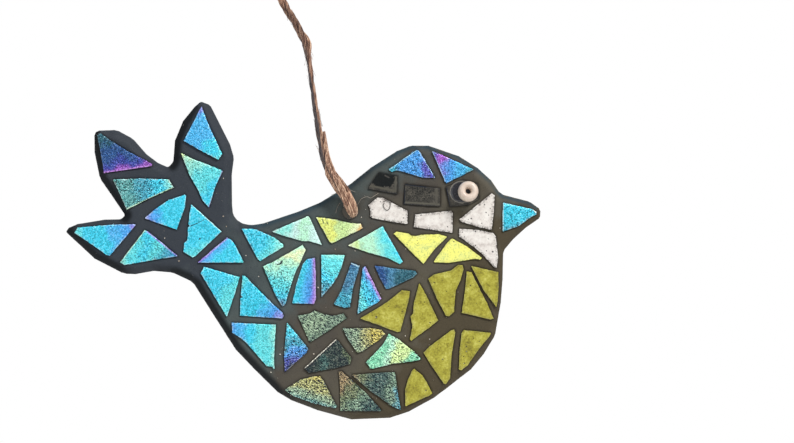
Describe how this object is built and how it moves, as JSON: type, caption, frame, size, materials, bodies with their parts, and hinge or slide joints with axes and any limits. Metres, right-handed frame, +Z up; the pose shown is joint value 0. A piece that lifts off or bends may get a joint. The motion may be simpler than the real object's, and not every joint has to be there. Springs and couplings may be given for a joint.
{
  "type": "mosaic bird hanging ornament",
  "caption": "Flat bird-shaped plaque for hanging: cut glass set in dark grout over a thin board, with a glued bead for an eye and a loop of jute twine through a hole in its back.",
  "frame": {"origin": "where a hook bears inside the top of the twine loop, in the middle of the plaque's thickness", "axes": "+X towards the beak, -Y out of the mosaic face, +Z up as it hangs"},
  "size_m": [0.1501, 0.0255, 0.1565],
  "materials": {
    "board": "bare sawn fibreboard",
    "grout": "matt charcoal grout, fine grained",
    "iridescent_glass": "opaque iridescent glass, pebbled, blue to violet",
    "pale_iridescent_glass": "opaque iridescent glass, pebbled, aqua to yellow green",
    "green_iridescent_glass": "opaque iridescent glass, pebbled, dark green to gold",
    "black_glass": "opaque black glass with a haze of grout",
    "white_glass": "opaque white glass with small pits",
    "yellow_glass": "opaque light yellow glass with a faint lustre",
    "olive_glass": "opaque mottled olive green glass",
    "bead": "smooth cream bead",
    "jute": "brown jute fibre",
    "glue": "glossy dried glue"
  },
  "bodies": {
    "root": {"backing_board": "board", "grout": "grout", "tail_tile_1": "iridescent_glass", "tail_tile_2": "iridescent_glass", "tail_tile_3": "iridescent_glass", "tail_tile_4": "iridescent_glass", "tail_tile_5": "iridescent_glass", "tail_tile_6": "iridescent_glass", "tail_tile_7": "iridescent_glass", "tail_tile_8": "iridescent_glass", "flank_tile_1": "iridescent_glass", "flank_tile_2": "iridescent_glass", "flank_tile_3": "iridescent_glass", "flank_tile_4": "iridescent_glass", "flank_tile_5": "iridescent_glass", "flank_tile_6": "iridescent_glass", "back_tile_1": "pale_iridescent_glass", "back_tile_2": "pale_iridescent_glass", "back_tile_3": "pale_iridescent_glass", "wing_tile_1": "iridescent_glass", "wing_tile_2": "iridescent_glass", "wing_tile_3": "iridescent_glass", "wing_tile_4": "iridescent_glass", "wing_tile_5": "iridescent_glass", "wing_tile_6": "iridescent_glass", "belly_tile_1": "green_iridescent_glass", "belly_tile_2": "green_iridescent_glass", "belly_tile_3": "green_iridescent_glass", "belly_tile_4": "green_iridescent_glass", "belly_tile_5": "green_iridescent_glass", "belly_tile_6": "green_iridescent_glass", "belly_tile_7": "green_iridescent_glass", "cap_tile_1": "iridescent_glass", "cap_tile_2": "iridescent_glass", "beak_tile": "iridescent_glass", "mask_tile_1": "black_glass", "mask_tile_2": "black_glass", "mask_tile_3": "black_glass", "cheek_tile_1": "white_glass", "cheek_tile_2": "white_glass", "cheek_tile_3": "white_glass", "cheek_tile_4": "white_glass", "throat_tile_1": "yellow_glass", "throat_tile_2": "yellow_glass", "breast_tile_1": "olive_glass", "breast_tile_2": "olive_glass", "breast_tile_3": "olive_glass", "breast_tile_4": "olive_glass", "breast_tile_5": "olive_glass", "breast_tile_6": "olive_glass", "breast_tile_7": "olive_glass", "breast_tile_8": "olive_glass", "eye_bead": "bead", "hanging_twine": "jute", "twine_knot": "jute"}
  },
  "joints": []
}
